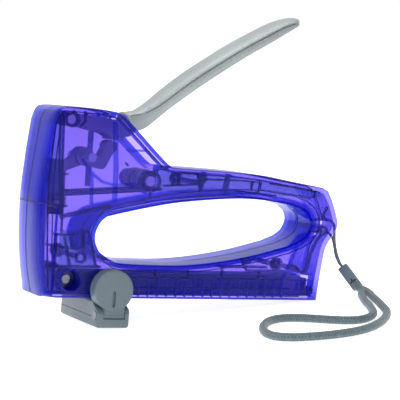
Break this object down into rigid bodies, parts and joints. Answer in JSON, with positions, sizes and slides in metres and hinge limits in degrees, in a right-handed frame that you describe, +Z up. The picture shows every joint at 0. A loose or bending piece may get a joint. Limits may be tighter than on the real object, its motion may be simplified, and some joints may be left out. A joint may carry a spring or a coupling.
{
  "type": "staple gun",
  "caption": "Light hand staple gun: clear moulded halves round a hand hole, sprung squeeze lever driving a plunger, slide-out magazine, side foot and wrist strap.",
  "frame": {"origin": "on the floor under the middle of the body, in the plane where the two shells meet; the gun stands on the rear edge of its foot and its heel", "axes": "-X to the nose, +X to the heel, +Y to the far shell, -Y to the foot's dial, +Z up; the base slopes down to the heel by 7 degrees"},
  "size_m": [0.1768, 0.122, 0.1409],
  "materials": {
    "shell_plastic": "clear violet moulded plastic, glossy",
    "satin_steel": "satin nickel-plated sheet",
    "pressed_steel": "zinc-plated pressings",
    "bright_pin": "bright ground steel",
    "spring_steel": "oiled spring wire",
    "chrome_screw": "polished",
    "zinc_screw": "zinc-plated",
    "black_rubber": "matte",
    "black_plastic": "fine texture",
    "grey_plastic": "satin blue-grey moulding",
    "dark_cord": "tight thin cord",
    "braided_cord": "fine round braid with light flecks"
  },
  "bodies": {
    "body": {"near_shell": "shell_plastic", "far_shell": "shell_plastic", "nose_cover": "shell_plastic", "shell_screws": "zinc_screw", "lever_pin": "bright_pin", "lever_spring": "spring_steel", "rocker_pin": "bright_pin", "bumper": "black_rubber", "power_spring": "spring_steel", "spring_pin": "bright_pin", "nose_guide": "bright_pin", "nose_screws": "chrome_screw", "magazine_channel": "pressed_steel", "foot_block": "grey_plastic", "foot_sole": "grey_plastic", "foot_pin": "chrome_screw", "strap_post": "bright_pin", "strap_loop": "dark_cord", "strap_clasp": "grey_plastic", "strap_cord": "braided_cord"},
    "lever": {"lever": "satin_steel", "lever_arm": "pressed_steel"},
    "rocker": {"rocker": "pressed_steel"},
    "driver": {"plunger": "pressed_steel", "driver_blade": "bright_pin"},
    "magazine": {"staple_rail": "satin_steel", "rail_grip": "grey_plastic", "pusher_rod": "bright_pin", "pusher_spring": "spring_steel", "latch_spring": "spring_steel"},
    "pusher": {"pusher": "pressed_steel"},
    "latch": {"magazine_latch": "black_plastic"},
    "foot_arm": {"foot_arm": "grey_plastic"}
  },
  "joints": [
    {"name": "lever_squeeze", "type": "hinge", "parent": "body", "child": "lever", "pos_m": [-0.06045, 0, 0.09799], "axis": [0, 1, 0], "range_deg": [0, 30], "stiffness_Nm_per_rad": 0.6, "springref_deg": -28.65, "deforming": ["lever_spring"]},
    {"name": "rocker_turn", "type": "hinge", "parent": "body", "child": "rocker", "pos_m": [-0.0508, 0, 0.07968], "axis": [0, 1, 0], "range_deg": [0, 61.5]},
    {"name": "plunger_lift", "type": "slide", "parent": "body", "child": "driver", "axis": [0.1216, 0, 0.9926], "range_m": [0, 0.0134], "deforming": ["power_spring"]},
    {"name": "magazine_slide", "type": "slide", "parent": "body", "child": "magazine", "axis": [0.9926, 0, -0.1216], "range_m": [0, 0.1]},
    {"name": "pusher_slide", "type": "slide", "parent": "magazine", "child": "pusher", "axis": [0.9926, 0, -0.1216], "range_m": [0, 0.095], "stiffness_N_per_m": 15, "springref_m": -0.03, "deforming": ["pusher_spring"]},
    {"name": "latch_press", "type": "slide", "parent": "magazine", "child": "latch", "axis": [-0.9926, 0, 0.1216], "range_m": [0, 0.0015], "stiffness_N_per_m": 300, "springref_m": -0.001, "deforming": ["latch_spring"]},
    {"name": "foot_arm_hinge", "type": "hinge", "parent": "body", "child": "foot_arm", "pos_m": [-0.04746, -0.019, 0.00663], "axis": [0.9926, 0, -0.1216], "range_deg": [0, 50]}
  ],
  "couplings": [
    {"joint": "rocker_turn", "follows": "lever_squeeze", "ratio": 2.0333},
    {"joint": "plunger_lift", "follows": "lever_squeeze", "m_per_rad": 0.025203}
  ]
}
